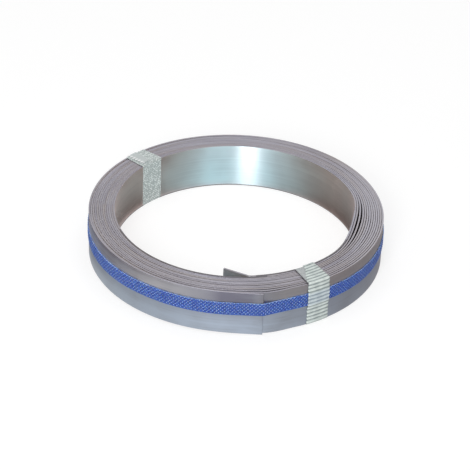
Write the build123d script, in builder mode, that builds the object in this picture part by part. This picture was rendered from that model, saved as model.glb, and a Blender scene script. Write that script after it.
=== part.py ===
"""Coil of galvanized steel strap, held by a blue plastic band and two white tape ties.

The coil lies flat. Its axis is +Z, the ties' undersides are at Z = 0 and the front is towards -Y.
The strip winds outwards counter-clockwise, seen from above. Millimetres and degrees.
"""

import math
import os

from build123d import *

# Steel strip and its winding
strip_width = 40.0
strip_thickness = 1.5
turn_gap = 0.2
turn_count = 13
bore_radius = 103.8
edge_stagger = 0.5
seam_lap = 0.3

# Free outer end of the strip, straight and proud of the coil at the front
outer_end_length = 24.5

# Inner end of the strip, bent out of the wall into the bore as a tail
tail_azimuth = -83.4
tail_bend_radius = 5.0
tail_bend_angle = 33.0
tail_length = 22.0
tail_root_length = 3.0

# Innermost turns, sprung away from the wall on the right
loose_gap = 1.0
loose_start_azimuths = (-44.0, -41.0, -37.0)
loose_end_azimuths = (18.0, 14.0, 9.0)

# Blue plastic strapping round the outside
band_width = 12.0
band_thickness = 0.7
band_height = 24.6

# White tape ties round the coil's section
wrap_clearance = 0.1
tie_thickness = 0.5
tie_width = 21.5
tie_gathered_width = 14.0
tie_gathered_shift = 5.0
tie_front_azimuth = -56.5
tie_back_azimuth = 137.5

# Height of each close-wound turn's slit edge, as a share of edge_stagger, from the bore outwards
edge_height_shares = (0.35, -0.6, 0.9, 0.1, -1.0, 0.5, 1.0, -0.45, 0.2, 0.65)
outer_turn_share = -0.3
inner_turn_share = -0.15

# Worked out from the sizes above: bore_radius is at the tail's root, coil_radius at the free outer end,
# and the wall between them is one turn more than the turns that lie on each other anywhere else
turn_pitch = strip_thickness + turn_gap
coil_radius = bore_radius + (turn_count + 1) * turn_pitch
coil_bottom = tie_thickness + wrap_clearance + edge_stagger
loose_turns = len(loose_start_azimuths) + 1
wound_turns = turn_count - loose_turns
wound_inner_radius = bore_radius + loose_turns * turn_pitch
wound_outer_radius = coil_radius - turn_pitch - seam_lap
centre_shift = turn_pitch / 4
loose_step = loose_gap - turn_gap
outer_turn_bottom = coil_bottom + outer_turn_share * edge_stagger
inner_turn_bottom = coil_bottom + inner_turn_share * edge_stagger
tie_sweep = 2 * math.degrees(math.atan(tie_width / bore_radius))


def polar(radius, azimuth):
    """Point at a radius and an azimuth, in degrees counter-clockwise from +X."""
    return (radius * math.cos(math.radians(azimuth)), radius * math.sin(math.radians(azimuth)))


def wound_section():
    """Half section of the close-wound turns: each slit edge is a land at its own height, at both ends."""
    top_edge = []
    bottom_edge = []
    for turn in range(wound_turns):
        share = edge_height_shares[turn % len(edge_height_shares)]
        land_bottom = coil_bottom + share * edge_stagger
        inner_radius = wound_inner_radius + turn * turn_pitch
        for radius in (inner_radius, min(inner_radius + turn_pitch, wound_outer_radius)):
            bottom_edge.append((radius, land_bottom))
            top_edge.append((radius, land_bottom + strip_width))
    return bottom_edge + top_edge[::-1]


def loose_crescent(radius, outer_sag, inner_sag, start, end):
    """Face between two arcs that meet at a radius and hang into the bore by two sags at their middle."""
    middle = (start + end) / 2
    with BuildSketch() as crescent:
        with BuildLine():
            ThreePointArc(polar(radius, start), polar(radius - outer_sag, middle), polar(radius, end))
            ThreePointArc(polar(radius, start), polar(radius - inner_sag, middle), polar(radius, end))
        make_face()
    return crescent.sketch


def wrapped_outline(grow):
    """Outline of a tight wrap round the coil and its proud outer end, set off outwards by grow."""
    right_centre = Vector(0, centre_shift)
    right_radius = coil_radius - 3 * centre_shift
    left_radius = coil_radius - centre_shift + grow
    strip_corner = Vector(outer_end_length, -coil_radius)
    reach = strip_corner - right_centre
    lift = math.degrees(math.atan2(reach.Y, reach.X)) + math.degrees(math.acos(right_radius / reach.length))
    top = Vector(0, coil_radius - 2 * centre_shift + grow)
    front = Vector(0, -coil_radius - grow)
    bend_start = strip_corner + Vector(polar(grow, -90))
    bend_middle = strip_corner + Vector(polar(grow, (lift - 90) / 2))
    bend_end = strip_corner + Vector(polar(grow, lift))
    landing = right_centre + Vector(polar(right_radius + grow, lift))
    with BuildSketch() as outline:
        with BuildLine():
            ThreePointArc(top, (-left_radius, -centre_shift), front)
            Line(front, bend_start)
            ThreePointArc(bend_start, bend_middle, bend_end)
            Line(bend_end, landing)
            ThreePointArc(landing, (right_radius + grow, centre_shift), top)
        make_face()
    return outline.sketch


# Wound strip: close turns, outer turn with its free end, inner turn with its tail, loosened turns
with BuildPart() as strap_coil:
    with BuildSketch(Plane.XZ):
        with BuildLine():
            Polyline(*wound_section(), close=True)
        make_face()
    revolve(axis=Axis.Z)

    with BuildSketch(Plane.XY.offset(outer_turn_bottom)):
        with BuildLine():
            turn_start = (0, turn_pitch - coil_radius)
            turn_back = (0, coil_radius - 2 * centre_shift)
            turn_front = (0, -coil_radius)
            end_outer = (outer_end_length, -coil_radius)
            end_inner = (outer_end_length, strip_thickness - coil_radius)
            wedge_root = (0, strip_thickness - coil_radius)
            ThreePointArc(turn_start, (coil_radius - 3 * centre_shift, centre_shift), turn_back)
            ThreePointArc(turn_back, (centre_shift - coil_radius, -centre_shift), turn_front)
            Polyline(turn_front, end_outer, end_inner, wedge_root, turn_start)
        make_face()
        Circle(wound_outer_radius - seam_lap, mode=Mode.SUBTRACT)
    extrude(amount=strip_width)

    with BuildSketch(Plane.XY.offset(inner_turn_bottom).rotated((0, 0, tail_azimuth + 90))):
        Circle(wound_inner_radius + seam_lap)
        with BuildLine():
            bore_start = (0, -bore_radius)
            bore_back = (0, bore_radius + 2 * centre_shift)
            bore_end = (0, -bore_radius - turn_pitch)
            ThreePointArc(bore_start, (bore_radius + centre_shift, centre_shift), bore_back)
            ThreePointArc(bore_back, (-bore_radius - 3 * centre_shift, -centre_shift), bore_end)
            Line(bore_end, bore_start)
        make_face(mode=Mode.SUBTRACT)
        with BuildLine():
            tail_line = -bore_radius - strip_thickness / 2
            Line((tail_root_length, tail_line), (0, tail_line))
            bend = JernArc((0, tail_line), (-1, 0), tail_bend_radius, -tail_bend_angle)
            Line(bend @ 1, bend @ 1 + (bend % 1) * tail_length)
        trace(line_width=strip_thickness)
    extrude(amount=strip_width)

    with BuildSketch(Plane.XY.offset(inner_turn_bottom)):
        full_sag = turn_pitch + len(loose_start_azimuths) * loose_step
        add(loose_crescent(bore_radius + turn_pitch, 0, full_sag, loose_start_azimuths[0], loose_end_azimuths[0]))
    extrude(amount=strip_width)
    with BuildSketch(Plane.XY):
        for gap, (start, end) in enumerate(zip(loose_start_azimuths, loose_end_azimuths)):
            gap_radius = wound_inner_radius - (gap + 1) * turn_pitch
            add(loose_crescent(gap_radius, gap * loose_step, gap * loose_step + loose_gap, start, end))
    extrude(amount=coil_bottom + strip_width + edge_stagger, mode=Mode.SUBTRACT)

# Blue band, drawn tight over the outer end and lying on the coil all the way round
with BuildPart() as blue_band:
    with BuildSketch(Plane.XY.offset(coil_bottom + band_height - band_width / 2)):
        add(wrapped_outline(wrap_clearance + band_thickness))
        add(wrapped_outline(wrap_clearance), mode=Mode.SUBTRACT)
    extrude(amount=band_width)


def tie_loop(azimuth, wall_inner_radius, wall_outer_radius, inner_width, inner_shift):
    """Tape loop drawn tight round the coil's wall and the blue band, cut to its plan outline."""
    low = coil_bottom - edge_stagger
    high = coil_bottom + strip_width + edge_stagger
    band_low = coil_bottom + band_height - band_width / 2
    band_radius = wall_outer_radius + wrap_clearance + band_thickness
    wrapped = (
        (wall_inner_radius, low),
        (wall_outer_radius, low),
        (band_radius, band_low),
        (band_radius, band_low + band_width),
        (wall_outer_radius, high),
        (wall_inner_radius, high),
    )
    plan_reach = tie_width / 2
    plan = (
        (wall_inner_radius - plan_reach, inner_shift - inner_width / 2),
        (wall_inner_radius, inner_shift - inner_width / 2),
        (wall_outer_radius, -tie_width / 2),
        (wall_outer_radius + plan_reach, -tie_width / 2),
        (wall_outer_radius + plan_reach, tie_width / 2),
        (wall_outer_radius, tie_width / 2),
        (wall_inner_radius, inner_shift + inner_width / 2),
        (wall_inner_radius - plan_reach, inner_shift + inner_width / 2),
    )
    with BuildPart() as loop:
        with BuildSketch(Plane.XZ.rotated((0, 0, azimuth - tie_sweep / 2), ordering=Extrinsic.XYZ)):
            with BuildLine():
                Polyline(*wrapped, close=True)
            section = make_face()
            offset(section, wrap_clearance + tie_thickness, kind=Kind.INTERSECTION, mode=Mode.ADD)
            offset(section, wrap_clearance, kind=Kind.INTERSECTION, mode=Mode.SUBTRACT)
        revolve(axis=Axis.Z, revolution_arc=tie_sweep)
        with BuildSketch(Plane.XY.rotated((0, 0, azimuth))):
            with BuildLine():
                Polyline(*plan, close=True)
            make_face()
        extrude(amount=high + tie_width, mode=Mode.INTERSECT)
    return loop


# The wall under each tie: its outer face at the tie, and its inner face there
tie_front = tie_loop(
    tie_front_azimuth,
    bore_radius,
    coil_radius - 3 * centre_shift + centre_shift * math.sin(math.radians(tie_front_azimuth)),
    tie_gathered_width,
    tie_gathered_shift,
)
tie_back = tie_loop(
    tie_back_azimuth,
    bore_radius + 2 * centre_shift,
    coil_radius - centre_shift - centre_shift * math.sin(math.radians(tie_back_azimuth)),
    tie_width,
    0,
)

pieces = {"strap_coil": strap_coil, "blue_band": blue_band, "tie_front": tie_front, "tie_back": tie_back}
os.makedirs("parts", exist_ok=True)
for name, piece in pieces.items():
    piece.part.label = name
    export_step(piece.part, f"parts/{name}.step")
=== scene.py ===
"""Looks of a coil of galvanized steel strap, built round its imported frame.

The strip is wound turn by turn as the real one is, with its slit edges staggered, its outer end proud at the
front, its inner end bent into the bore and its innermost turns sprung loose. A blue embossed plastic strapping
goes round the outside, and two white tapes go round the wall. Lengths are in metres, azimuths in degrees
counter-clockwise from +X, and the front is towards -Y.
"""

import logging
import math
from dataclasses import dataclass
from enum import Enum
from typing import Any, Callable

import bpy
from mathutils import Matrix, Vector


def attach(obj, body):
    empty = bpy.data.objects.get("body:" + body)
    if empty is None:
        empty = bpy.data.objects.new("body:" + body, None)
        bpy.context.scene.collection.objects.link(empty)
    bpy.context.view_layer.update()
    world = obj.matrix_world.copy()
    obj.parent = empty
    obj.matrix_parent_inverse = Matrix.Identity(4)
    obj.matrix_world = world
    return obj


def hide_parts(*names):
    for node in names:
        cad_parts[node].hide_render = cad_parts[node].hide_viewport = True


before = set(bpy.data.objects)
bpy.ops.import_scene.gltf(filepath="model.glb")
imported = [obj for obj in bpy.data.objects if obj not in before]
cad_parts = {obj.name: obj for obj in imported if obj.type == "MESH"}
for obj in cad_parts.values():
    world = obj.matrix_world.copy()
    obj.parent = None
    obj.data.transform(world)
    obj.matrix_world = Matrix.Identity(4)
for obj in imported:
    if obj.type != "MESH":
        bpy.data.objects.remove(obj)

LOG = logging.getLogger("strap_coil")
BODY = "root"
MM = 0.001
CLOSE = 1e-6  # Points nearer than this are in one place
MERGE = 0.05 * MM  # Points nearer than this are joined where a loop closes
STEEP = 0.7  # A face looks along an axis when its normal has more than this share of it
SOFT_ANGLE = 60.0  # Plastic is shaded smooth over edges up to this angle
POLYPROPYLENE_IOR = 1.49
WHITE = (1.0, 1.0, 1.0, 1.0)
CREST = "crest"  # The attribute that keeps how far a point is raised


def linear(hex_code: str) -> tuple[float, float, float, float]:
    """Turns an sRGB hex colour into linear red, green, blue and alpha.

    Args:
        hex_code: Six hex digits, such as "C4C9D0".

    Returns:
        The colour as Blender's sockets take it.
    """
    shares = [int(hex_code[i : i + 2], 16) / 255 for i in (0, 2, 4)]
    red, green, blue = (s / 12.92 if s <= 0.04045 else ((s + 0.055) / 1.055) ** 2.4 for s in shares)
    return (red, green, blue, 1.0)


def polar(radius: float, azimuth: float, height: float = 0.0) -> Vector:
    """Gives the point at a radius, an azimuth in degrees and a height."""
    turn = math.radians(azimuth)
    return Vector((radius * math.cos(turn), radius * math.sin(turn), height))


def smooth(share: float) -> float:
    """Eases a share from 0 to 1, flat at both ends."""
    held = min(1.0, max(0.0, share))
    return held * held * (3 - 2 * held)


def add_node(tree: bpy.types.NodeTree, kind: str, inputs: dict[Any, Any] | None = None, **settings: Any) -> Any:
    """Adds a shader node, with its settings made and its inputs filled or linked.

    Args:
        tree: The node tree that gets the node.
        kind: The node's type, without the ShaderNode prefix.
        inputs: Socket names or numbers, each with a value or with the output that feeds it.
        **settings: Properties of the node itself.

    Returns:
        The new node.
    """
    node = tree.nodes.new(f"ShaderNode{kind}")
    for name, value in settings.items():
        setattr(node, name, value)
    for key, value in (inputs or {}).items():
        if isinstance(value, bpy.types.NodeSocket):
            tree.links.new(value, node.inputs[key])
        else:
            node.inputs[key].default_value = value
    return node


def new_material(name: str) -> tuple[bpy.types.Material, bpy.types.NodeTree]:
    """Makes an empty node material.

    Args:
        name: The material's name.

    Returns:
        The material and its node tree.
    """
    material = bpy.data.materials.new(name)
    material.use_nodes = True
    material.node_tree.nodes.clear()
    return material, material.node_tree


def activate(piece: bpy.types.Object) -> None:
    """Leaves edit mode and makes a piece the only selected object.

    Args:
        piece: The object to work on.
    """
    if bpy.context.object is not None and bpy.context.object.mode != "OBJECT":
        bpy.ops.object.mode_set(mode="OBJECT")
    bpy.ops.object.select_all(action="DESELECT")
    piece.select_set(True)
    bpy.context.view_layer.objects.active = piece


def edit_all(piece: bpy.types.Object, mode: str = "VERT") -> None:
    """Opens a piece in edit mode with everything selected.

    Args:
        piece: The mesh object.
        mode: VERT, EDGE or FACE.
    """
    activate(piece)
    bpy.ops.object.mode_set(mode="EDIT")
    bpy.ops.mesh.select_mode(type=mode)
    bpy.ops.mesh.select_all(action="SELECT")


def edit_where(piece: bpy.types.Object, mode: str, test: Callable[[Any], bool]) -> None:
    """Opens a piece in edit mode with the elements that pass a test selected.

    Args:
        piece: The mesh object.
        mode: VERT, EDGE or FACE.
        test: Takes a vertex, edge or polygon of the mesh.
    """
    edit_all(piece, mode)
    bpy.ops.mesh.select_all(action="DESELECT")
    bpy.ops.object.mode_set(mode="OBJECT")
    mesh = piece.data
    elements = {"VERT": mesh.vertices, "EDGE": mesh.edges, "FACE": mesh.polygons}[mode]
    for element in elements:
        element.select = test(element)
    bpy.ops.object.mode_set(mode="EDIT")


def apply_modifier(piece: bpy.types.Object, kind: str, **settings: Any) -> None:
    """Adds a modifier to a piece, sets it and applies it.

    Args:
        piece: The mesh object.
        kind: The modifier's type, such as SOLIDIFY.
        **settings: The modifier's properties.
    """
    activate(piece)
    modifier = piece.modifiers.new(kind.title(), kind)
    for name, value in settings.items():
        setattr(modifier, name, value)
    bpy.ops.object.modifier_apply(modifier=modifier.name)


def guide_curve(name: str, points: list[Vector], closed: bool) -> bpy.types.Object:
    """Makes an upright guide line that a flat blank is bent along.

    Args:
        name: The guide's name.
        points: The line's points.
        closed: Whether its last point joins its first.

    Returns:
        The curve object, which the caller removes.
    """
    curve = bpy.data.curves.new(name, "CURVE")
    curve.dimensions = "3D"
    curve.twist_mode = "Z_UP"
    spline = curve.splines.new("POLY")
    spline.points.add(len(points) - 1)
    for knot, point in zip(spline.points, points):
        knot.co = (*point, 1.0)
    spline.use_cyclic_u = closed
    guide = bpy.data.objects.new(name, curve)
    bpy.context.scene.collection.objects.link(guide)
    return guide


def guide_length(guide: bpy.types.Object) -> float:
    """Measures a guide line."""
    return guide.data.splines[0].calc_length()


def bend_along(piece: bpy.types.Object, guide: bpy.types.Object) -> None:
    """Bends a blank that lies along +X onto a guide line, which is then removed.

    Args:
        piece: The blank.
        guide: The curve object that it follows.
    """
    bpy.context.view_layer.update()
    apply_modifier(piece, "CURVE", object=guide, deform_axis="POS_X")
    curve = guide.data
    bpy.data.objects.remove(guide)
    bpy.data.curves.remove(curve)


def join_ends(piece: bpy.types.Object) -> None:
    """Joins the ends of a strip that was bent into a loop and turns its faces outwards.

    Args:
        piece: The bent strip.
    """
    edit_all(piece)
    bpy.ops.mesh.remove_doubles(threshold=MERGE)
    bpy.ops.mesh.normals_make_consistent(inside=False)
    activate(piece)


def coat_plastic(piece: bpy.types.Object, finish: Any) -> None:
    """Gives a plastic piece its material and shades it smooth.

    Args:
        piece: The modelled object.
        finish: The finish, which makes the material.
    """
    activate(piece)
    piece.data.materials.append(finish.material())
    bpy.ops.object.shade_smooth_by_angle(angle=math.radians(SOFT_ANGLE))


def dress(piece: bpy.types.Object, name: str, node: str) -> bpy.types.Object:
    """Names a finished piece, sets it on the frame's body and lets it stand for its CAD node.

    Args:
        piece: The finished object.
        name: Its name.
        node: The CAD node that it replaces.

    Returns:
        The same object.
    """
    piece.name = name
    piece.data.name = name
    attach(piece, BODY)
    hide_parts(node)
    return piece


@dataclass(frozen=True)
class CoilSizes:
    """Sizes that the pieces share, as the CAD source has them, and how far the bore lies off the axis."""

    strip_width: float = 40.0 * MM
    strip_thickness: float = 1.5 * MM
    turn_pitch: float = 1.7 * MM
    turn_count: int = 13
    bore_radius: float = 103.8 * MM
    coil_radius: float = 127.6 * MM
    coil_bottom: float = 1.1 * MM
    edge_stagger: float = 0.5 * MM
    outer_end_length: float = 24.5 * MM
    wrap_clearance: float = 0.1 * MM
    band_width: float = 12.0 * MM
    band_thickness: float = 0.7 * MM
    band_height: float = 24.6 * MM
    bore_shift: float = 2.0 * MM

    @property
    def centre_shift(self) -> float:
        """Half the distance between the centres of the winding's two half turns."""
        return self.turn_pitch / 4

    @property
    def band_low(self) -> float:
        """Level of the blue strapping's lower edge."""
        return self.coil_bottom + self.band_height - self.band_width / 2

    def wall_inner(self, azimuth: float) -> float:
        """Gives the radius of the wall's inner face at an azimuth."""
        share = ((azimuth + 90) % 360) / 360
        return self.bore_radius + self.turn_pitch * share + self.bore_shift * math.sin(math.radians(azimuth))

    def wall_outer(self, azimuth: float) -> float:
        """Gives the radius of the wall's outer face at an azimuth."""
        share = ((-90 - azimuth) % 360) / 360
        return self.coil_radius - self.turn_pitch * share


@dataclass(frozen=True)
class GalvanizedSheet:
    """Hot-dip galvanized sheet, temper rolled: a cool grey metal with faint streaks and clouds of tarnish.

    Its fine rolling lines draw lights upright where the sheet is clean. The outer turns are more mottled and rougher.
    The front, the left and the right each have a lower and an upper colour, which paint the reflections and shade
    that fall on the sheet from around it. Real rolling lines are too fine to show, so the streaks are drawn 2 mm wide.
    """

    name: str
    front: tuple[str, str]
    left: tuple[str, str]
    right: tuple[str, str]
    anisotropy: float
    roughness: tuple[float, float]
    left_reach: tuple[float, float] = (-25.0 * MM, -80.0 * MM)
    right_reach: tuple[float, float] = (25.0 * MM, 80.0 * MM)
    front_levels: tuple[float, float] = (8.0 * MM, 32.0 * MM)
    side_levels: tuple[float, float] = (20.0 * MM, 30.0 * MM)
    shade: str = "8C9097"
    shade_share: float = 0.25
    streak_width: float = 2.0 * MM
    streak_length: float = 220.0 * MM
    cloud: float = 24.0 * MM
    mottle_range: tuple[float, float] = (0.18, 0.36)
    rough_range: tuple[float, float] = (0.15, 0.4)
    rolling_bump: float = 0.04
    rolling_depth: float = 0.02 * MM
    grain_turn: float = 0.25

    def painted_reflection_by_height(
        self, tree: bpy.types.NodeTree, height: Any, colours: tuple[str, str], levels: tuple[float, float]
    ) -> Any:
        """Adds nodes that paint reflected light and shade on the sheet, going over from its lower to its upper part.

        Args:
            tree: The material's node tree.
            height: The output with the height.
            colours: The lower and the upper colour.
            levels: The heights between which one goes over into the other.

        Returns:
            The output with the colour.
        """
        lower, upper = (linear(colour) for colour in colours)
        low, high = levels
        share = add_node(
            tree,
            "MapRange",
            {"Value": height, "From Min": low, "From Max": high},
            interpolation_type="SMOOTHSTEP",
        ).outputs[0]
        return add_node(tree, "Mix", {"Factor": share, 6: lower, 7: upper}, data_type="RGBA").outputs[2]

    def material(self) -> bpy.types.Material:
        """Builds the sheet's material, whose streaks run round the coil.

        Returns:
            The material.
        """
        material, tree = new_material(self.name)
        place = add_node(tree, "TexCoord").outputs["Object"]
        along = wound_coordinates(tree, place, self.streak_length, self.streak_width)
        streaks = add_node(tree, "TexNoise", {"Vector": along, "Scale": 1.0, "Detail": 4.0, "Roughness": 0.55})
        clouds = add_node(tree, "TexNoise", {"Vector": place, "Scale": 1 / self.cloud, "Detail": 2.0})
        axes = add_node(tree, "SeparateXYZ", {0: place})
        across, height = axes.outputs["X"], axes.outputs["Z"]
        base = self.painted_reflection_by_height(tree, height, self.front, self.front_levels)
        # The left and the right get their own painted reflections and shade, each with a lower and an upper colour.
        for colours, (near, far) in ((self.left, self.left_reach), (self.right, self.right_reach)):
            side = self.painted_reflection_by_height(tree, height, colours, self.side_levels)
            aside = add_node(tree, "MapRange", {"Value": across, "From Min": near, "From Max": far}).outputs[0]
            base = add_node(tree, "Mix", {"Factor": aside, 6: base, 7: side}, data_type="RGBA").outputs[2]
        mottle = add_node(
            tree, "Math", {0: streaks.outputs["Fac"], 1: clouds.outputs["Fac"]}, operation="MULTIPLY"
        ).outputs[0]
        clean, dull = self.mottle_range
        shaded = add_node(
            tree, "MapRange", {"Value": mottle, "From Min": clean, "From Max": dull, "To Max": self.shade_share}
        ).outputs[0]
        colour = add_node(
            tree, "Mix", {"Factor": shaded, 6: base, 7: linear(self.shade)}, data_type="RGBA"
        ).outputs[2]
        clean, dull = self.rough_range
        low, high = self.roughness
        rough = add_node(
            tree, "MapRange", {"Value": mottle, "From Min": clean, "From Max": dull, "To Min": low, "To Max": high}
        ).outputs[0]
        bump = add_node(
            tree,
            "Bump",
            {"Strength": self.rolling_bump, "Distance": self.rolling_depth, "Height": streaks.outputs["Fac"]},
        ).outputs[0]
        metal = add_node(
            tree,
            "BsdfPrincipled",
            {
                "Base Color": colour,
                "Metallic": 1.0,
                "Roughness": rough,
                "Anisotropic": self.anisotropy,
                "Anisotropic Rotation": self.grain_turn,
                "Normal": bump,
            },
        )
        add_node(tree, "OutputMaterial", {"Surface": metal.outputs[0]})
        return material


@dataclass(frozen=True)
class SlitEdge:
    """Slit edge of galvanized strip: sheared steel, duller and warmer than the sheet, uneven from turn to turn.

    Painted light makes it paler on the right. Single turns are too fine to show, so its streaks are drawn two turns
    wide.
    """

    name: str
    cool: str = "A2A2AD"
    warm: str = "9E999A"
    dull: str = "8C8A94"
    pale: str = "C0C0C8"
    painted_light_reach: tuple[float, float] = (85.0 * MM, 115.0 * MM)
    painted_light_share: float = 0.4
    roughness: float = 0.5
    turn_width: float = 3.4 * MM
    streak_length: float = 120.0 * MM
    warm_range: tuple[float, float] = (0.35, 0.65)
    dull_range: tuple[float, float] = (0.4, 0.72)
    dull_scale: float = 2.3

    def material(self) -> bpy.types.Material:
        """Builds the edge's material, whose streaks run round the coil's ends.

        Returns:
            The material.
        """
        material, tree = new_material(self.name)
        place = add_node(tree, "TexCoord").outputs["Object"]
        along = wound_coordinates(tree, place, self.streak_length, self.turn_width)
        stains = ((self.warm, 1.0, 3.0, self.warm_range), (self.dull, self.dull_scale, 4.0, self.dull_range))
        toned = linear(self.cool)
        for stain, scale, detail, (low, high) in stains:
            noise = add_node(tree, "TexNoise", {"Vector": along, "Scale": scale, "Detail": detail}).outputs["Fac"]
            share = add_node(tree, "MapRange", {"Value": noise, "From Min": low, "From Max": high}).outputs[0]
            toned = add_node(tree, "Mix", {"Factor": share, 6: toned, 7: linear(stain)}, data_type="RGBA").outputs[2]
        # Painted light: the edge goes paler towards the right.
        across = add_node(tree, "SeparateXYZ", {0: place}).outputs["X"]
        near, far = self.painted_light_reach
        aside = add_node(
            tree, "MapRange", {"Value": across, "From Min": near, "From Max": far, "To Max": self.painted_light_share}
        ).outputs[0]
        colour = add_node(
            tree, "Mix", {"Factor": aside, 6: toned, 7: linear(self.pale)}, data_type="RGBA"
        ).outputs[2]
        metal = add_node(
            tree, "BsdfPrincipled", {"Base Color": colour, "Metallic": 1.0, "Roughness": self.roughness}
        )
        add_node(tree, "OutputMaterial", {"Surface": metal.outputs[0]})
        return material


@dataclass(frozen=True)
class EmbossedStrapping:
    """Polypropylene strapping, extruded and embossed: an even mid blue, paler in patches on the crests of its pattern,
    from rubbing and from a painted highlight.
    """

    body: str = "2E53A3"
    rub_and_highlight: str = "98AFDF"
    roughness: float = 0.5
    clearness: float = 1.0
    scatter_shares: tuple[float, float, float] = (0.5, 0.7, 1.0)
    scatter_depth: float = 1.5 * MM
    wear_size: float = 9.0 * MM
    wear_range: tuple[float, float] = (0.3, 0.7)
    least_wear: float = 0.45
    crest_range: tuple[float, float] = (0.15, 0.75)

    def material(self) -> bpy.types.Material:
        """Builds the strapping's material, paler on the crests of its pattern.

        Returns:
            The material.
        """
        material, tree = new_material("blue_polypropylene")
        place = add_node(tree, "TexCoord").outputs["Object"]
        crest = add_node(tree, "Attribute", attribute_name=CREST).outputs["Fac"]
        wear = add_node(
            tree, "TexNoise", {"Vector": place, "Scale": 1 / self.wear_size, "Detail": 2.0}
        ).outputs["Fac"]
        low, high = self.wear_range
        toned = add_node(
            tree, "MapRange", {"Value": wear, "From Min": low, "From Max": high, "To Min": self.least_wear}
        ).outputs[0]
        # The crests are paler: rubbed wear and a painted highlight on the raised dots.
        low, high = self.crest_range
        raised = add_node(tree, "MapRange", {"Value": crest, "From Min": low, "From Max": high}).outputs[0]
        share = add_node(tree, "Math", {0: raised, 1: toned}, operation="MULTIPLY").outputs[0]
        colour = add_node(
            tree, "Mix", {"Factor": share, 6: linear(self.body), 7: linear(self.rub_and_highlight)}, data_type="RGBA"
        ).outputs[2]
        plastic = add_node(
            tree,
            "BsdfPrincipled",
            {
                "Base Color": colour,
                "Roughness": self.roughness,
                "IOR": POLYPROPYLENE_IOR,
                "Subsurface Weight": self.clearness,
                "Subsurface Radius": self.scatter_shares,
                "Subsurface Scale": self.scatter_depth,
            },
        )
        add_node(tree, "OutputMaterial", {"Surface": plastic.outputs[0]})
        return material


@dataclass(frozen=True)
class WhiteTape:
    """Polypropylene tape: milky and thin, pale on its crests, with painted shade between them and the blue of what it
    covers painted through it.
    """

    sizes: CoilSizes
    name: str
    crest: str = "DBE4E0"
    groove_shade: str = "7E8A8B"
    band_show_through: str = "8FA6CC"
    mottle: float = 0.2
    roughness: float = 0.4
    cloud: float = 6.0 * MM
    thin_range: tuple[float, float] = (0.42, 0.6)
    tint_reach: tuple[float, float] = (7.0 * MM, 5.0 * MM)
    tint_share: float = 0.22
    outside_radii: tuple[float, float] = (121.0 * MM, 124.0 * MM)

    def material(self) -> bpy.types.Material:
        """Builds the tape's material, with the strapping's blue painted through it where the strapping lies under it.

        Returns:
            The material.
        """
        s = self.sizes
        material, tree = new_material(self.name)
        place = add_node(tree, "TexCoord").outputs["Object"]
        radius = axis_distance(tree, place)
        height = add_node(tree, "SeparateXYZ", {0: place}).outputs["Z"]
        crest = add_node(tree, "Attribute", attribute_name=CREST).outputs["Fac"]
        cloud = add_node(tree, "TexNoise", {"Vector": place, "Scale": 1 / self.cloud, "Detail": 3.0}).outputs["Fac"]
        low, high = self.thin_range
        thin = add_node(
            tree, "MapRange", {"Value": cloud, "From Min": low, "From Max": high, "To Max": self.mottle}
        ).outputs[0]
        lit = add_node(tree, "Math", {0: crest, 1: thin}, operation="SUBTRACT", use_clamp=True).outputs[0]
        # Painted shade: the tape is darker between its crests, where the grooves lie.
        plain = add_node(
            tree, "Mix", {"Factor": lit, 6: linear(self.groove_shade), 7: linear(self.crest)}, data_type="RGBA"
        ).outputs[2]
        # Painted show-through: the strapping's blue light is painted into the tape over it.
        off_band = add_node(
            tree, "Math", {0: height, 1: s.band_low + s.band_width / 2}, operation="SUBTRACT"
        ).outputs[0]
        apart = add_node(tree, "Math", {0: off_band}, operation="ABSOLUTE").outputs[0]
        low, high = self.tint_reach
        near = add_node(
            tree, "MapRange", {"Value": apart, "From Min": low, "From Max": high, "To Max": self.tint_share}
        ).outputs[0]
        low, high = self.outside_radii
        outside = add_node(tree, "MapRange", {"Value": radius, "From Min": low, "From Max": high}).outputs[0]
        over_band = add_node(tree, "Math", {0: near, 1: outside}, operation="MULTIPLY").outputs[0]
        colour = add_node(
            tree, "Mix", {"Factor": over_band, 6: plain, 7: linear(self.band_show_through)}, data_type="RGBA"
        ).outputs[2]
        tape = add_node(
            tree, "BsdfPrincipled", {"Base Color": colour, "Roughness": self.roughness, "IOR": POLYPROPYLENE_IOR}
        )
        add_node(tree, "OutputMaterial", {"Surface": tape.outputs[0]})
        return material


def axis_distance(tree: bpy.types.NodeTree, place: Any) -> Any:
    """Adds nodes that measure how far a place is off the coil's axis.

    Args:
        tree: The material's node tree.
        place: The output with Object coordinates.

    Returns:
        The output with the distance.
    """
    flat = add_node(tree, "VectorMath", {0: place, 1: (1.0, 1.0, 0.0)}, operation="MULTIPLY").outputs[0]
    return add_node(tree, "VectorMath", {0: flat}, operation="LENGTH").outputs["Value"]


def wound_coordinates(tree: bpy.types.NodeTree, place: Any, length: float, width: float) -> Any:
    """Adds nodes that turn a place into steps round the coil, across its wall and up its height.

    Args:
        tree: The material's node tree.
        place: The output with Object coordinates.
        length: The pattern's size round the coil.
        width: The pattern's size across the wall and up the height.

    Returns:
        The output with the pattern's own coordinates.
    """
    mean_radius = 115.7 * MM
    axes = add_node(tree, "SeparateXYZ", {0: place})
    turn = add_node(tree, "Math", {0: axes.outputs["Y"], 1: axes.outputs["X"]}, operation="ARCTAN2").outputs[0]
    ways = (turn, axis_distance(tree, place), axes.outputs["Z"])
    scales = (mean_radius / length, 1 / width, 1 / width)
    steps = [
        add_node(tree, "Math", {0: way, 1: scale}, operation="MULTIPLY").outputs[0]
        for way, scale in zip(ways, scales)
    ]
    return add_node(tree, "CombineXYZ", dict(enumerate(steps))).outputs[0]


def mark_crests(piece: bpy.types.Object, height: float) -> None:
    """Keeps on each point of a flat blank how far it is raised, as a share of the full height.

    Args:
        piece: The blank, with its outer side towards -Y.
        height: The full height.
    """
    attribute = piece.data.attributes.new(CREST, "FLOAT", "POINT")
    for vertex, value in zip(piece.data.vertices, attribute.data):
        value.value = min(1.0, max(0.0, -vertex.co.y / height))


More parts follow.
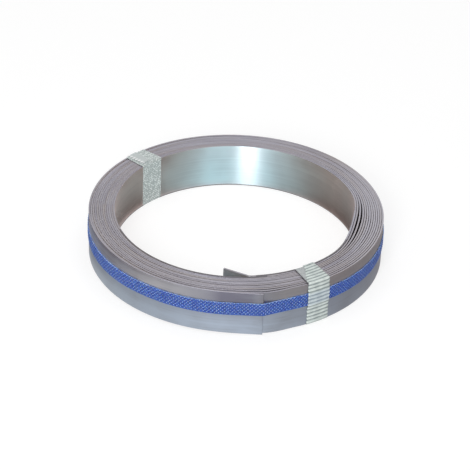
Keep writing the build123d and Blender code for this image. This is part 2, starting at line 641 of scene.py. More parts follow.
def flat_blank(length: float, width: float, cells: tuple[int, int]) -> bpy.types.Object:
    """Lays out a flat blank along +X with its width upright and its outer side towards -Y.

    Args:
        length: Length along +X, from the origin.
        width: Width along Z, half each way.
        cells: How many cells it has along and across.

    Returns:
        The blank.
    """
    bpy.ops.object.select_all(action="DESELECT")
    bpy.ops.mesh.primitive_grid_add(x_subdivisions=cells[0], y_subdivisions=cells[1], size=1)
    blank = bpy.context.object
    edit_all(blank)
    bpy.ops.transform.resize(value=(length, width, 1))
    activate(blank)
    blank.data.transform(Matrix.Translation((length / 2, 0, 0)) @ Matrix.Rotation(math.radians(90), 4, "X"))
    return blank


class StripFace(Enum):
    """How a face of the strip was made or scuffed, and which painted reflections and shade it carries."""

    BRIGHT = "bright"
    HANDLED = "painted_reflections"
    SCUFFED = "scuffed"
    SLIT = "slit"
    TARNISHED = "dark_rim"
    OILED = "painted_gap_shade"


@dataclass(frozen=True)
class LooseTurns:
    """Turns that stand off their neighbours over an arc, each by its own distance in millimetres into the bore."""

    azimuth: float
    reach: float
    first: int
    sags: tuple[float, ...]

    def sag(self, unwound: float) -> float:
        """Gives how far the strip hangs into the bore.

        Args:
            unwound: The azimuth, which counts on from turn to turn.

        Returns:
            The distance, which is negative where the strip stands outwards.
        """
        turn = round((unwound - self.azimuth) / 360)
        away = unwound - self.azimuth - 360 * turn
        if abs(away) >= self.reach or not 0 <= turn - self.first < len(self.sags):
            return 0.0
        return self.sags[turn - self.first] * MM * math.cos(math.radians(90 * away / self.reach)) ** 2


@dataclass
class WoundStrip:
    """The steel strip: a flat blank with rounded slit edges, wound along its own spiral."""

    sizes: CoilSizes
    tail_azimuth: float = -82.5
    tail_bend_radius: float = 5.0 * MM
    tail_bend_angle: float = 33.0
    tail_length: float = 22.0 * MM
    sprung_inwards: LooseTurns = LooseTurns(
        azimuth=-10.0,
        reach=30.0,
        first=0,
        sags=(4.4, 4.2, 3.1, 1.8, 1.5, 1.2, 0.95, 0.7, 0.5, 0.35, 0.2, 0.1),
    )
    slack_under_end: LooseTurns = LooseTurns(
        azimuth=-77.3, reach=12.0, first=8, sags=(-0.2, -0.5, -0.85, -1.4, -2.0)
    )
    edge_round: float = 0.14 * MM
    end_round: float = 0.5 * MM
    end_droop: float = 1.0 * MM
    droop_reach: float = 45.0 * MM
    tail_root: float = 4.0 * MM
    dark_rim_reach: float = 40.0 * MM
    gap_shade_turns: float = 4.2
    gap_shade_reach: float = 75.0 * MM
    first_turn_share: float = 1.02
    edge_normal: float = 0.35
    smooth_angle: float = 35.0
    steps_per_turn: int = 160
    bend_steps: int = 8
    tail_cuts: int = 7
    tail_stops: tuple[float, ...] = (1.0, 0.66, 0.33)
    end_stops: tuple[float, ...] = (0.25, 0.5, 0.75, 1.0)
    bend_reach: float = 4.0
    edge_height_shares: tuple[float, ...] = (
        -0.1, -0.05, -0.2, 0.05, 0.15, -0.2, 0.3, 0.1, -0.3, 0.2, 0.3, -0.2, -0.9, 1.1,
    )

    def edge_height(self, turns: float) -> float:
        """Gives how far the strip stands off its mean level.

        Args:
            turns: The number of turns from the tail's root.

        Returns:
            The height above the mean level.
        """
        last = len(self.edge_height_shares) - 2
        index = min(last, int(turns))
        start, end = self.edge_height_shares[index : index + 2]
        return self.sizes.edge_stagger * (start + (end - start) * smooth(turns - index))

    def centreline(self) -> list[Vector]:
        """Works out the strip's middle line.

        Returns:
            Its points, from the tail's tip to the outer end.
        """
        s = self.sizes
        level = s.coil_bottom + s.strip_width / 2
        first_radius = s.bore_radius + s.strip_thickness / 2
        last_radius = s.coil_radius - s.strip_thickness / 2
        sweep = 360 * s.turn_count - (self.tail_azimuth + 90)
        start = Vector((0, s.bore_shift, level + self.edge_height(0)))
        bend_centre = start + polar(first_radius - self.tail_bend_radius, self.tail_azimuth)
        bend = [
            bend_centre + polar(self.tail_bend_radius, self.tail_azimuth - self.tail_bend_angle * i / self.bend_steps)
            for i in range(self.bend_steps, 0, -1)
        ]
        tail_way = polar(1.0, self.tail_azimuth - self.tail_bend_angle - 90)
        tail = [bend[0] + tail_way * self.tail_length * share for share in self.tail_stops]
        steps = round(sweep / 360 * self.steps_per_turn)
        turns_line = []
        for i in range(steps + 1):
            share = i / steps
            azimuth = self.tail_azimuth + sweep * share
            turns = sweep * share / 360
            sag = self.sprung_inwards.sag(azimuth) + self.slack_under_end.sag(azimuth)
            radius = first_radius + (last_radius - first_radius) * share - sag
            centre = Vector((0, s.bore_shift * (1 - share), level + self.edge_height(turns)))
            turns_line.append(centre + polar(radius, azimuth))
        end = [turns_line[-1] + Vector((s.outer_end_length * share, 0, 0)) for share in self.end_stops]
        return tail + bend + turns_line + end

    def blank(self, length: float) -> bpy.types.Object:
        """Models the flat strip: a bar with its four long edges rounded, cut across at every step.

        Args:
            length: The strip's length.

        Returns:
            The blank, lying along +X from the origin.
        """
        s = self.sizes
        bpy.ops.object.select_all(action="DESELECT")
        bpy.ops.mesh.primitive_cube_add(size=1)
        strip = bpy.context.object
        edit_all(strip)
        bpy.ops.transform.resize(value=(length, s.strip_thickness, s.strip_width))
        bpy.ops.transform.translate(value=(length / 2, 0, 0))

        def end_corner(edge: bpy.types.MeshEdge) -> bool:
            """Tells whether an edge is the upright outer one at the free end."""
            ends = [strip.data.vertices[i].co for i in edge.vertices]
            return all(end.x > length - CLOSE and end.y < 0 for end in ends)

        def runs_along(edge: bpy.types.MeshEdge) -> bool:
            """Tells whether an edge runs along the strip."""
            a, b = (strip.data.vertices[i].co for i in edge.vertices)
            return abs(a.x - b.x) > 2 * self.end_round

        edit_where(strip, "EDGE", end_corner)
        bpy.ops.mesh.bevel(offset=self.end_round, segments=2, affect="EDGES")
        edit_where(strip, "EDGE", runs_along)
        bpy.ops.mesh.bevel(offset=self.edge_round, segments=3, affect="EDGES")
        cuts = round(math.sqrt(s.turn_count * self.steps_per_turn))
        for _ in range(2):
            edit_where(strip, "EDGE", runs_along)
            bpy.ops.mesh.subdivide(number_cuts=cuts - 1)
        tail_reach = self.tail_length + self.bend_reach * self.tail_bend_radius

        def in_tail(edge: bpy.types.MeshEdge) -> bool:
            """Tells whether an edge runs along the part that becomes the tail."""
            return runs_along(edge) and max(strip.data.vertices[i].co.x for i in edge.vertices) < tail_reach

        edit_where(strip, "EDGE", in_tail)
        bpy.ops.mesh.subdivide(number_cuts=self.tail_cuts)
        activate(strip)
        return strip

    def face_kind(self, face: bpy.types.MeshPolygon, along: float) -> StripFace:
        """Tells which finish a face of the wound strip gets, from how it was made and from the painted reflections and
        shade of its place.

        Args:
            face: The face, in its place on the coil.
            along: How far along the strip it is, from the tail's tip.

        Returns:
            The kind of face.
        """
        place = face.center.to_2d()
        tail_end = self.tail_length + self.tail_bend_radius * math.radians(self.tail_bend_angle) + self.tail_root
        turn_length = math.tau * self.sizes.wall_inner(0)
        in_first_turn = along < tail_end + turn_length * self.first_turn_share
        if abs(face.normal.z) > self.edge_normal:
            # The innermost turn's slit edge is darker at the front, along the bore's rim.
            toned = in_first_turn and along > tail_end and place.y < -self.dark_rim_reach
            return StripFace.TARNISHED if toned else StripFace.SLIT
        if along < tail_end:
            return StripFace.SCUFFED
        inward = place.dot(face.normal.to_2d()) < 0
        if inward and in_first_turn:
            return StripFace.BRIGHT
        # Faces in the gaps between the loosened turns are dark: a painted shade.
        in_gap = along < tail_end + turn_length * self.gap_shade_turns and place.x > self.gap_shade_reach
        return StripFace.OILED if in_gap else StripFace.HANDLED

    def finishes(self) -> dict[StripFace, Any]:
        """Gives the finish of each kind of face.

        Returns:
            The finishes, in the order of the material slots.
        """
        # The inner face is painted warmer at its sides: a painted reflection of the surroundings.
        warm = ("CCBBB7", "CCBBB7")
        scuffed = ("ACB0B5", "ACB0B5")
        painted_gap_shade = ("45464B", "45464B")
        return {
            StripFace.BRIGHT: GalvanizedSheet(
                "bright_galvanized_sheet",
                front=("DAE4EA", "DAE4EA"),
                left=warm,
                right=warm,
                anisotropy=1.0,
                roughness=(0.36, 0.44),
                shade_share=0.15,
            ),
            # The outer turns: more mottled and rougher, and painted with reflections and shade, darker above at the
            # front and very light above at the left.
            StripFace.HANDLED: GalvanizedSheet(
                "galvanized_sheet_with_painted_reflections",
                front=("AAB5C4", "747380"),
                left=("96A0AC", "F8F8F8"),
                right=("A6B0BD", "ADADB0"),
                anisotropy=0.5,
                roughness=(0.4, 0.48),
                left_reach=(-10 * MM, -115 * MM),
                right_reach=(15 * MM, 42 * MM),
                shade_share=0.35,
            ),
            StripFace.SCUFFED: GalvanizedSheet(
                "scuffed_galvanized_sheet", scuffed, scuffed, scuffed, anisotropy=1.0, roughness=(0.4, 0.48)
            ),
            # Painted shade: a dark colour for the faces in the gaps between the loosened turns.
            StripFace.OILED: GalvanizedSheet(
                "galvanized_sheet_painted_gap_shade", painted_gap_shade, painted_gap_shade, painted_gap_shade, anisotropy=0.0, roughness=(0.5, 0.58), shade="3A3B40"
            ),
            StripFace.SLIT: SlitEdge("slit_steel_edge"),
            # A darker slit edge, for the innermost turn at the front.
            StripFace.TARNISHED: SlitEdge("dark_rim_steel_edge", cool="72727A", warm="6F6B6C", dull="64626A"),
        }

    def build(self) -> bpy.types.Object:
        """Winds the blank and gives its faces and its slit edges their finishes.

        Returns:
            The wound strip.
        """
        guide = guide_curve("winding_line", self.centreline(), closed=False)
        length = guide_length(guide)
        strip = self.blank(length)
        points_along = [vertex.co.x for vertex in strip.data.vertices]
        faces_along = [face.center.x for face in strip.data.polygons]
        bend_along(strip, guide)
        for vertex, along in zip(strip.data.vertices, points_along):
            vertex.co.z -= self.end_droop * smooth((along - length + self.droop_reach) / self.droop_reach)
        finishes = self.finishes()
        for finish in finishes.values():
            strip.data.materials.append(finish.material())
        order = list(finishes)
        for face, along in zip(strip.data.polygons, faces_along):
            face.material_index = order.index(self.face_kind(face, along))
        activate(strip)
        bpy.ops.object.shade_smooth_by_angle(angle=math.radians(self.smooth_angle))
        return dress(strip, "wound_strip", "strap_coil")


@dataclass
class BlueStrapping:
    """The plastic strapping round the outside, embossed all over and drawn tight over the strip's outer end."""

    sizes: CoilSizes
    dot_pitch: float = 3.2 * MM
    cells_per_dot: int = 4
    emboss: float = 0.3 * MM
    edge_highlight: float = 1.0
    side_dip: float = 2.0 * MM
    dip_start: float = 65.0 * MM
    arc_step: float = 2.0

    def outline(self) -> list[Vector]:
        """Works out the middle line of the strapping, which dips at both sides.

        Returns:
            Its points, from the back round the left to the front and the right.
        """
        s = self.sizes
        grow = s.wrap_clearance + s.band_thickness / 2
        level = s.band_low + s.band_width / 2
        left_centre = Vector((0, -s.centre_shift, level))
        right_centre = Vector((0, s.centre_shift, level))
        left_radius = s.coil_radius - s.centre_shift
        right_radius = s.coil_radius - 3 * s.centre_shift
        corner = Vector((s.outer_end_length, -s.coil_radius, level))
        reach = (corner - right_centre).to_2d()
        lift = math.degrees(math.atan2(reach.y, reach.x) + math.acos(right_radius / reach.length))
        left = self.arc(left_centre, left_radius + grow, 90, 270)
        bend = self.arc(corner, grow, 270, 360 + lift)
        right = self.arc(right_centre, right_radius + grow, 360 + lift, 450)
        line = left + bend + right[:-1]
        for point in line:
            point.z -= self.side_dip * smooth((abs(point.x) - self.dip_start) / (s.coil_radius - self.dip_start))
        return line

    def arc(self, centre: Vector, radius: float, start: float, end: float) -> list[Vector]:
        """Gives points along an arc, both ends included."""
        count = max(2, round((end - start) / self.arc_step))
        return [centre + polar(radius, start + (end - start) * i / count) for i in range(count + 1)]

    def build(self) -> bpy.types.Object:
        """Embosses a flat strap, thickens it, draws it round the coil and joins its ends.

        Returns:
            The strapping.
        """
        s = self.sizes
        guide = guide_curve("strapping_line", self.outline(), closed=True)
        length = guide_length(guide)
        along = self.cells_per_dot * round(length / self.dot_pitch)
        across = round(s.band_width * self.cells_per_dot / self.dot_pitch)
        band = flat_blank(length, s.band_width, (along, across))
        step = length / along

        def on_crest(vertex: bpy.types.MeshVertex) -> bool:
            """Tells whether a point is the top of a dot, in staggered rows that leave both edges plain."""
            row = round((vertex.co.z / s.band_width + 0.5) * across)
            place = round(vertex.co.x / step)
            return 0 < row < across and row % 2 == 0 and (place + row) % self.cells_per_dot == 0

        edit_where(band, "VERT", on_crest)
        bpy.ops.transform.translate(value=(0, -self.emboss, 0))
        activate(band)
        mark_crests(band, self.emboss)
        # The top edge is made pale: a painted highlight along it.
        for vertex, value in zip(band.data.vertices, band.data.attributes[CREST].data):
            if vertex.co.z > s.band_width / 2 - CLOSE:
                value.value = self.edge_highlight
        apply_modifier(band, "SOLIDIFY", thickness=s.band_thickness - self.emboss, offset=0.0)
        edit_where(band, "FACE", lambda face: abs(face.normal.x) > STEEP)
        bpy.ops.mesh.delete(type="FACE")
        for end in (0.0, length):
            edit_where(band, "VERT", lambda vertex: abs(vertex.co.x - end) < step / 2)
            bpy.ops.transform.resize(value=(0, 1, 1), center_override=(end, 0, 0))
        bend_along(band, guide)
        join_ends(band)
        coat_plastic(band, EmbossedStrapping())
        return dress(band, "blue_strapping", "blue_band")


class TapeWeave(Enum):
    """How a tape's surface is worked."""

    RIBBED = "ribbed"
    CROSSED = "crossed"


@dataclass
class TapeTie:
    """One tape loop round the coil's wall, drawn over the blue strapping."""

    sizes: CoilSizes
    node: str
    weave: TapeWeave
    azimuth: float
    outer_width: float
    inner_width: float
    inner_shift: float
    finish: WhiteTape
    thickness: float = 0.25 * MM
    lift: float = 0.1 * MM
    unevenness: float = 0.2 * MM
    rib_pitch: float = 3.5 * MM
    rib_height: float = 0.65 * MM
    rib_profile: tuple[float, ...] = (0.0, 0.65, 1.0, 0.65)
    cell: float = 1.15 * MM
    cross_height: float = 0.4 * MM
    columns: int = 8
    side_drop: float = 0.06 * MM
    plain_paleness: float = 0.75
    top_share: float = 0.6
    band_slope: float = 3.0 * MM
    corner_step: float = 15.0
    groove_width: float = 0.97
    rib_spread: float = 0.05
    cross_width: float = 1.08
    wall_span: float = 30.0
    wall_steps: int = 30

    @property
    def inner_radius(self) -> float:
        """Radius of the wall's inner face under the tape."""
        return self.sizes.wall_inner(self.azimuth)

    @property
    def outer_radius(self) -> float:
        """Radius of the wall's outer face under the tape."""
        return self.sizes.wall_outer(self.azimuth)

    @property
    def wall(self) -> float:
        """Thickness of the wall under the tape."""
        return self.outer_radius - self.inner_radius

    def loop(self) -> list[Vector]:
        """Works out the tape's middle line in its own plane.

        Returns:
            Its points: X is the radius and Y the height.
        """
        s = self.sizes
        low = s.coil_bottom - s.edge_stagger
        high = s.coil_bottom + s.strip_width + self.top_share * s.edge_stagger
        proud = self.outer_radius + s.wrap_clearance + s.band_thickness
        corners = [
            Vector((self.inner_radius, low)),
            Vector((self.outer_radius, low)),
            Vector((self.outer_radius, s.band_low - self.band_slope)),
            Vector((proud, s.band_low)),
            Vector((proud, s.band_low + s.band_width)),
            Vector((self.outer_radius, s.band_low + s.band_width + self.band_slope)),
            Vector((self.outer_radius, high)),
            Vector((self.inner_radius, high)),
        ]
        points = []
        for i, corner in enumerate(corners):
            before = corner - corners[i - 1]
            after = corners[(i + 1) % len(corners)] - corner
            start = math.degrees(math.atan2(before.y, before.x)) - 90
            turn = (math.degrees(math.atan2(after.y, after.x)) - 90 - start + 180) % 360 - 180
            steps = max(1, round(turn / self.corner_step)) if turn > 0 else 0
            angles = [start + turn * k / steps for k in range(steps + 1)] if steps else [start + turn / 2]
            points += [Vector((*corner, 0)) + polar(self.lift, angle) for angle in angles]
        return points

    def rib(self, length: float) -> bpy.types.Object:
        """Models the flat ribbed tape: rounded ribs across it, wider than the grooves between them.

        Args:
            length: The tape's length.

        Returns:
            The worked blank.
        """
        phases = len(self.rib_profile)
        along = phases * round(length / self.rib_pitch)
        tape = flat_blank(length, self.outer_width, (along, self.columns))
        sides = self.side_points(tape)
        step = length / along
        underside = self.wall + self.rib_pitch / 2
        for phase, share in enumerate(self.rib_profile):
            edit_where(
                tape, "VERT", lambda v: round(v.co.x / step) % phases == phase and underside < v.co.x < length - step
            )
            spread = self.groove_width + self.rib_spread * share
            bpy.ops.transform.translate(value=(0, -self.rib_height * share, 0))
            bpy.ops.transform.resize(value=(1, 1, spread), center_override=(length / 2, 0, 0))
        activate(tape)
        mark_crests(tape, self.rib_height)
        self.pale_underside(tape, length, underside)
        self.close_sides(tape, sides)
        return tape

    def pale_underside(self, tape: bpy.types.Object, length: float, reach: float) -> None:
        """Makes the plain tape under the coil evenly pale.

        Args:
            tape: The worked blank.
            length: The blank's length.
            reach: How far from its start it lies under the coil.
        """
        for vertex, value in zip(tape.data.vertices, tape.data.attributes[CREST].data):
            if vertex.co.x <= reach or vertex.co.x > length - CLOSE:
                value.value = self.plain_paleness

    def side_points(self, tape: bpy.types.Object) -> set[int]:
        """Lists the points on the two long sides of a plain blank."""
        return {v.index for v in tape.data.vertices if abs(v.co.z) > self.outer_width / 2 - CLOSE}

    def close_sides(self, tape: bpy.types.Object, sides: set[int]) -> None:
        """Turns both long sides of a worked tape down onto the wall, so no gap shows under them.

        Args:
            tape: The worked blank.
            sides: The points on its two long sides.
        """

        def on_side(edge: bpy.types.MeshEdge) -> bool:
            """Tells whether an edge lies on one of the tape's long sides."""
            return sides.issuperset(edge.vertices)

        edit_where(tape, "EDGE", on_side)
        bpy.ops.mesh.extrude_edges_move(TRANSFORM_OT_translate={"value": (0, 0, 0)})
        bpy.ops.transform.resize(value=(1, 0, 1), center_override=(0, self.side_drop, 0))
        activate(tape)

    def roughen(self, tape: bpy.types.Object, length: float) -> None:
        """Makes the flat tape a little uneven, except underneath.

        Args:
            tape: The worked blank.
            length: The blank's length.
        """
        underside = self.wall + self.rib_pitch / 2
        edit_where(tape, "VERT", lambda v: underside < v.co.x < length - self.rib_pitch)
        bpy.ops.transform.vertex_random(offset=self.unevenness, uniform=0.0, normal=0.0, seed=5)
        activate(tape)

    def cross(self, length: float) -> bpy.types.Object:
        """Models the flat crossed tape, with small raised crossings.

        Args:
            length: The tape's length.

        Returns:
            The worked blank.
        """
        along = 2 * round(length / self.cell / 2)
        across = 2 * round(self.outer_width / self.cell / 2)
        tape = flat_blank(length, self.outer_width, (along, across))
        sides = self.side_points(tape)
        step = length / along
        underside = self.wall + self.cell

        def on_crest(vertex: bpy.types.MeshVertex) -> bool:
            """Tells whether a point is one of the raised crossings, which the underside has none of."""
            row = round((vertex.co.z / self.outer_width + 0.5) * across)
            place = round(vertex.co.x / step)
            return (place + row) % 2 == 0 and underside < vertex.co.x < length - step

        edit_where(tape, "VERT", on_crest)
        bpy.ops.transform.translate(value=(0, -self.cross_height, 0))
        bpy.ops.transform.resize(value=(1, 1, self.cross_width), center_override=(length / 2, 0, 0))
        activate(tape)
        mark_crests(tape, self.cross_height)
        self.pale_underside(tape, length, underside)
        self.close_sides(tape, sides)
        return tape

    def build(self) -> bpy.types.Object:
        """Models the flat tape, closes it into its loop and lays it on the coil.

        Returns:
            The tape.
        """
        guide = guide_curve("tape_line", self.loop(), closed=True)
        length = guide_length(guide)
        tape = self.rib(length) if self.weave is TapeWeave.RIBBED else self.cross(length)
        self.roughen(tape, length)
        apply_modifier(tape, "SUBSURF", levels=1, render_levels=1)
        bend_along(tape, guide)
        self.gather(tape)
        # The loop stands up: its radius goes inwards along +Y, its height along +Z and its width along -X
        stand = Matrix(((0, 0, -1, 0), (-1, 0, 0, self.outer_radius), (0, 1, 0, 0), (0, 0, 0, 1)))
        tape.data.transform(stand)
        arc = [
            polar(self.outer_radius, self.azimuth + self.wall_span * (i / self.wall_steps - 0.5))
            for i in range(self.wall_steps + 1)
        ]
        arc_guide = guide_curve("wall_line", arc, closed=False)
        tape.data.transform(Matrix.Translation((guide_length(arc_guide) / 2, 0, 0)))
        bend_along(tape, arc_guide)
        join_ends(tape)
        apply_modifier(tape, "SOLIDIFY", thickness=self.thickness, offset=0.0)
        coat_plastic(tape, self.finish)
        return dress(tape, f"{self.node}_tape", self.node)

    def gather(self, tape: bpy.types.Object) -> None:
        """Draws the loop's inner side together and aside, as the tape lies in the bore.

        Args:
            tape: The closed loop, still in its own plane.
        """
        for vertex in tape.data.vertices:
            share = smooth((self.outer_radius - vertex.co.x) / self.wall)
            round_share = 1 + share * (self.outer_radius / self.inner_radius - 1)
            width = 1 + share * (self.inner_width / self.outer_width - 1)
            vertex.co.z = (vertex.co.z * width - share * self.inner_shift) * round_share


@dataclass(frozen=True)
class ClearFilm:
    """Thin polypropylene film, cast and creased: milky and half clear, and given another colour where it is folded, by
    default a dark grey that paints the crease's shade.
    """

    name: str
    milk: str = "DAE1E1"
    # Painted shade: the default fold colour darkens the crease.
    fold: str = "808086"
    alpha: float = 0.36
    roughness: float = 0.3
    fold_cover: float = 0.9

    def material(self) -> bpy.types.Material:
        """Builds the film's material, which covers more on its fold.

        Returns:
            The material.
        """
        material, tree = new_material(self.name)
        fold = add_node(tree, "Attribute", attribute_name=CREST).outputs["Fac"]
        colour = add_node(
            tree, "Mix", {"Factor": fold, 6: linear(self.milk), 7: linear(self.fold)}, data_type="RGBA"
        ).outputs[2]
        cover = add_node(tree, "MapRange", {"Value": fold, "To Min": self.alpha, "To Max": self.fold_cover}).outputs[0]
        film = add_node(
            tree,
            "BsdfPrincipled",
            {"Base Color": colour, "Roughness": self.roughness, "IOR": POLYPROPYLENE_IOR, "Alpha": cover},
        )
        add_node(tree, "OutputMaterial", {"Surface": film.outputs[0]})
        return material


@dataclass
class FilmLayer:
    """A layer of film on the coil's top, beside and over a tape, with one edge folded or torn into teeth."""

    sizes: CoilSizes
    name: str
    azimuths: tuple[float, float]
    radii: tuple[float, float]
    lift: float
    finish: ClearFilm
    fold_width: float = 0.2 * MM
    fold_height: float = 0.25 * MM
    thickness: float = 0.1 * MM
    columns: int = 12
    rows: int = 14
    ripple: float = 0.0
    teeth: float = 0.0

    def build(self) -> bpy.types.Object:
        """Lays a flat sheet on the coil's top, narrows its first column to the fold and thickens it.

        Returns:
            The film.
        """
        s = self.sizes
        start, end = self.azimuths
        inner, outer = self.radii
        level = s.coil_bottom + s.strip_width + self.lift
        film = flat_blank(1.0, 1.0, (self.columns, self.rows))
        fold_share = math.degrees(self.fold_width / outer) / abs(end - start)
        fold = film.data.attributes.new(CREST, "FLOAT", "POINT")
        for vertex, value in zip(film.data.vertices, fold.data):
            column = round(vertex.co.x * self.columns)
            share = max(0, column - 1) / (self.columns - 1)
            turn = start + (end - start) * (fold_share * min(1, column) + (1 - fold_share) * share)
            radius = inner + (outer - inner) * (vertex.co.z + 0.5)
            on_ridge = round((vertex.co.z + 0.5) * self.rows) % 2 == 0
            value.value = float(column < 2 and (on_ridge or self.teeth == 0))
            if on_ridge and column < 2:
                turn += math.copysign(self.teeth, start - end)
            rise = self.fold_height * float(column < 1) + self.ripple * float(on_ridge)
            vertex.co = polar(radius, turn, level + rise)
        edit_all(film)
        bpy.ops.mesh.normals_make_consistent(inside=False)
        apply_modifier(film, "SOLIDIFY", thickness=self.thickness, offset=0.0)
        coat_plastic(film, self.finish)
        film.name = self.name
        film.data.name = self.name
        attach(film, BODY)
        return film


@dataclass
class Studio:
    """Floor, soft light, shaded cards and the camera."""

    target: Vector
    distance: float = 1902.0 * MM
    elevation: float = 32.84
    roll: float = 2.13
    focal_pixels: float = 2201.0
    frame_pixels: float = 470.0
    aside_pixels: float = 1.15
    rise_pixels: float = 6.23
    sensor: float = 36.0
    floor_size: float = 12.0
    floor_colour: str = "FAFAFA"
    floor_dim: float = 0.35
    floor_glow: float = 0.7
    wall_radius: float = 114.5 * MM
    wall_reach: float = 9.5 * MM
    wall_shift: float = 2.0 * MM
    daylight: float = 0.5

    def camera(self) -> None:
        """Sets a long-lens camera at the photograph's height and tilt."""
        data = bpy.data.cameras.new("camera")
        data.sensor_width = self.sensor
        data.lens = self.sensor * self.focal_pixels / self.frame_pixels
        data.clip_start = self.distance / 100
        data.clip_end = self.distance * 100
        tilt = math.radians(self.elevation)
        back = Vector((0, -math.cos(tilt), math.sin(tilt)))
        turn = (-back).to_track_quat("-Z", "Y").to_matrix() @ Matrix.Rotation(math.radians(self.roll), 3, "Z")
        pixel = self.distance / self.focal_pixels
        aside = turn @ Vector((self.aside_pixels * pixel, self.rise_pixels * pixel, 0))
        camera = bpy.data.objects.new("camera", data)
        bpy.context.scene.collection.objects.link(camera)
        camera.matrix_world = Matrix.Translation(self.target + back * self.distance - aside) @ turn.to_4x4()
        bpy.context.scene.camera = camera

    def seen(self, tree: bpy.types.NodeTree) -> Any:
        """Adds nodes that tell rays from the camera, reflections and clear bodies from the rest.

        Args:
            tree: The node tree that gets the nodes.

        Returns:
            The output that is 1 for those rays.
        """
        rays = add_node(tree, "LightPath")
        seen = rays.outputs["Is Camera Ray"]
        for kind in ("Is Glossy Ray", "Is Transmission Ray"):
            seen = add_node(tree, "Math", {0: seen, 1: rays.outputs[kind]}, operation="MAXIMUM").outputs[0]
        return seen

    def floor(self) -> None:
        """Lays a wide pale floor that is seen as white, but not under the coil's wall, and keeps the coil's shadow."""
        bpy.ops.object.select_all(action="DESELECT")
        bpy.ops.mesh.primitive_plane_add(size=self.floor_size)
        floor = bpy.context.object
        floor.name = "floor"
        material, tree = new_material("white_floor")
        plain = add_node(tree, "BsdfDiffuse", {"Color": linear(self.floor_colour)}).outputs[0]
        grey = (self.floor_dim, self.floor_dim, self.floor_dim, 1.0)
        dim = add_node(tree, "BsdfDiffuse", {"Color": grey}).outputs[0]
        place = add_node(tree, "TexCoord").outputs["Object"]
        off_axis = add_node(
            tree, "VectorMath", {0: place, 1: (0.0, self.wall_shift, 0.0)}, operation="DISTANCE"
        ).outputs["Value"]
        under_wall = add_node(
            tree, "Math", {0: off_axis, 1: self.wall_radius, 2: self.wall_reach}, operation="COMPARE"
        ).outputs[0]
        strength = add_node(
            tree, "MapRange", {"Value": under_wall, "To Min": self.floor_glow, "To Max": 0.0}
        ).outputs[0]
        glow = add_node(tree, "Emission", {"Color": WHITE, "Strength": strength}).outputs[0]
        white = add_node(tree, "AddShader", {0: dim, 1: glow}).outputs[0]
        upper = add_node(tree, "MixShader", {0: self.seen(tree), 1: plain, 2: white}).outputs[0]
        below = add_node(tree, "NewGeometry").outputs["Backfacing"]
        clear = add_node(tree, "BsdfTransparent").outputs[0]
        surface = add_node(tree, "MixShader", {0: below, 1: upper, 2: clear}).outputs[0]
        add_node(tree, "OutputMaterial", {"Surface": surface})
        floor.data.materials.append(material)

    def card(
        self, name: str, outline: list[Vector], colours: tuple[str, str], axis: str, places: tuple[float, float]
    ) -> None:
        """Sets up a card that only reflections see, which shades off from one place to another.

        Args:
            name: The card's name.
            outline: The points of its outline in order.
            colours: Its colours at the two places.
            axis: The axis along which it shades off.
            places: The places on the axis.
        """
        bpy.ops.object.select_all(action="DESELECT")
        bpy.ops.mesh.primitive_circle_add(vertices=len(outline), fill_type="NGON")
        card = bpy.context.object
        card.name = name
        for vertex, point in zip(card.data.vertices, outline):
            vertex.co = point
        material, tree = new_material("shaded_card")
        place = add_node(tree, "SeparateXYZ", {0: add_node(tree, "TexCoord").outputs["Object"]}).outputs[axis]
        shade = add_node(
            tree,
            "MapRange",
            {"Value": place, "From Min": places[0], "From Max": places[1]},
            interpolation_type="SMOOTHSTEP",
        ).outputs[0]
        near, far = (linear(colour) for colour in colours)
        shown = add_node(tree, "Mix", {"Factor": shade, 6: near, 7: far}, data_type="RGBA").outputs[2]
        add_node(tree, "OutputMaterial", {"Surface": add_node(tree, "Emission", {"Color": shown}).outputs[0]})
        card.data.materials.append(material)
        for rays in ("camera", "diffuse", "transmission", "volume_scatter", "shadow"):
            setattr(card, f"visible_{rays}", False)

    def cards(self) -> None:
        """Lays cards in the bore and on the floor and stands one at each side, to shade the metal off sideways."""
        wide, front, deep, tall = 1.3, -2.4, 1.5, 2.4
        dim_start, dim_end = -0.03, 0.15
        dark_start, dark_end = -0.11, -0.17
        side_end = -0.2
        bore, bore_reach, half_steps = 0.1025, 0.09, 24
        floor_level, left_level, bore_level = 0.3 * MM, 0.35 * MM, 0.4 * MM

        def plan(left: float, right: float, level: float) -> list[Vector]:
            """Gives the corners of a card that lies on the floor."""
            return [Vector((x, y, level)) for x, y in ((left, front), (right, front), (right, deep), (left, deep))]

        self.card(
            "floor_card",
            plan(-wide, wide, floor_level),
            colours=("FFFFFF", "B2AEB0"),
            axis="X",
            places=(dim_start, dim_end),
        )
        self.card(
            "left_floor_card",
            plan(-wide, dark_start, left_level),
            colours=("FFFFFF", "46566E"),
            axis="X",
            places=(dark_start, dark_end),
        )
        for side, start, name in ((-1, -0.025, "left_bore_card"), (1, 0.0, "right_bore_card")):
            half = [polar(bore, 90 - side * 180 * step / half_steps, bore_level) for step in range(half_steps + 1)]
            shifted = [point + Vector((0, self.wall_shift, 0)) for point in half]
            self.card(name, shifted, colours=("D4FBFF", "33211D"), axis="X", places=(start, side * bore_reach))
        wall_plan = ((front, 0), (deep, 0), (deep, tall), (front, tall))
        for side, name, colour in ((-wide, "left_card", "B28A74"), (wide, "right_card", "B08872")):
            corners = [Vector((side, y, z)) for y, z in wall_plan]
            self.card(name, corners, colours=("FFFFFF", colour), axis="Y", places=(front, side_end))

    def world(self) -> None:
        """Gives an even dim daylight, seen as white by the camera and in the metal."""
        world = bpy.data.worlds.new("white_room")
        world.use_nodes = True
        tree = world.node_tree
        tree.nodes.clear()
        strength = add_node(
            tree, "MapRange", {"Value": self.seen(tree), "To Min": self.daylight, "To Max": 1.0}
        ).outputs[0]
        sky = add_node(tree, "Background", {"Color": WHITE, "Strength": strength})
        add_node(tree, "OutputWorld", {"Surface": sky.outputs[0]})
        bpy.context.scene.world = world

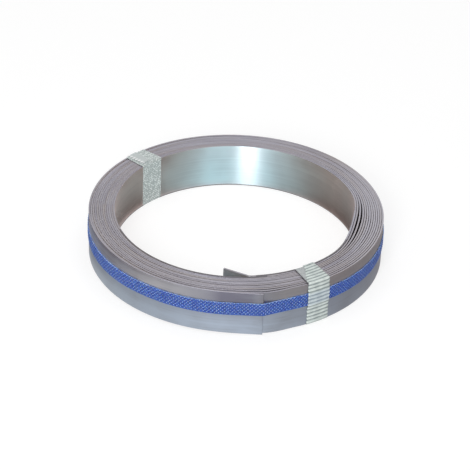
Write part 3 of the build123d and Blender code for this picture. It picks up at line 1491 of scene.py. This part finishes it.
    def lamp(self, name: str, place: Vector, size: float, power: float) -> None:
        """Hangs a square soft light that points at the coil.

        Args:
            name: The lamp's name.
            place: Where it hangs.
            size: The length of its sides.
            power: Its power in watts.
        """
        data = bpy.data.lights.new(name, "AREA")
        data.size = size
        data.energy = power
        lamp = bpy.data.objects.new(name, data)
        bpy.context.scene.collection.objects.link(lamp)
        turn = (place - self.target).to_track_quat("Z", "Y").to_matrix().to_4x4()
        lamp.matrix_world = Matrix.Translation(place) @ turn

    def build(self) -> None:
        """Sets up the studio."""
        self.camera()
        self.floor()
        self.cards()
        self.world()
        self.lamp("key", place=polar(1.3, azimuth=260, height=0.78), size=0.4, power=10.0)
        self.lamp("overhead", place=Vector((0, 0.3, 1.6)), size=1.2, power=6.5)
        bpy.context.scene.view_settings.view_transform = "Standard"


def main() -> None:
    """Builds the pieces and the studio."""
    logging.basicConfig(level=logging.INFO)
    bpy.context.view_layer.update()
    sizes = CoilSizes()
    parts = [
        WoundStrip(sizes),
        BlueStrapping(sizes),
        TapeTie(
            sizes,
            "tie_front",
            TapeWeave.RIBBED,
            azimuth=-56.4,
            outer_width=20.8 * MM,
            inner_width=10.4 * MM,
            inner_shift=5.0 * MM,
            finish=WhiteTape(sizes, "ribbed_polypropylene_tape"),
        ),
        TapeTie(
            sizes,
            "tie_back",
            TapeWeave.CROSSED,
            azimuth=137.0,
            outer_width=20.6 * MM,
            inner_width=21.2 * MM,
            inner_shift=-0.8 * MM,
            finish=WhiteTape(
                sizes, "crossed_polypropylene_tape", crest="F6FCFA", groove_shade="A6B0AF", mottle=0.85, cloud=1.5 * MM
            ),
        ),
        FilmLayer(
            sizes,
            "tie_front_film",
            azimuths=(-61.4, -53.2),
            radii=(103.0 * MM, 126.4 * MM),
            lift=0.5 * MM,
            finish=ClearFilm("creased_film"),
        ),
        FilmLayer(
            sizes,
            "tie_back_film",
            azimuths=(140.4, 136.6),
            radii=(108.5 * MM, 127.0 * MM),
            lift=0.95 * MM,
            finish=ClearFilm("plain_film", fold="FFFFFF", alpha=0.65),
            fold_width=2.2 * MM,
            fold_height=0.05 * MM,
            ripple=0.4 * MM,
            teeth=1.0,
            rows=12,
        ),
    ]
    for part in parts:
        piece = part.build()
        LOG.info("%s: %d faces", piece.name, len(piece.data.polygons))
    Studio(Vector((0, 0, sizes.coil_bottom + sizes.strip_width / 2))).build()
    bpy.context.view_layer.update()


if __name__ == "__main__":
    main()
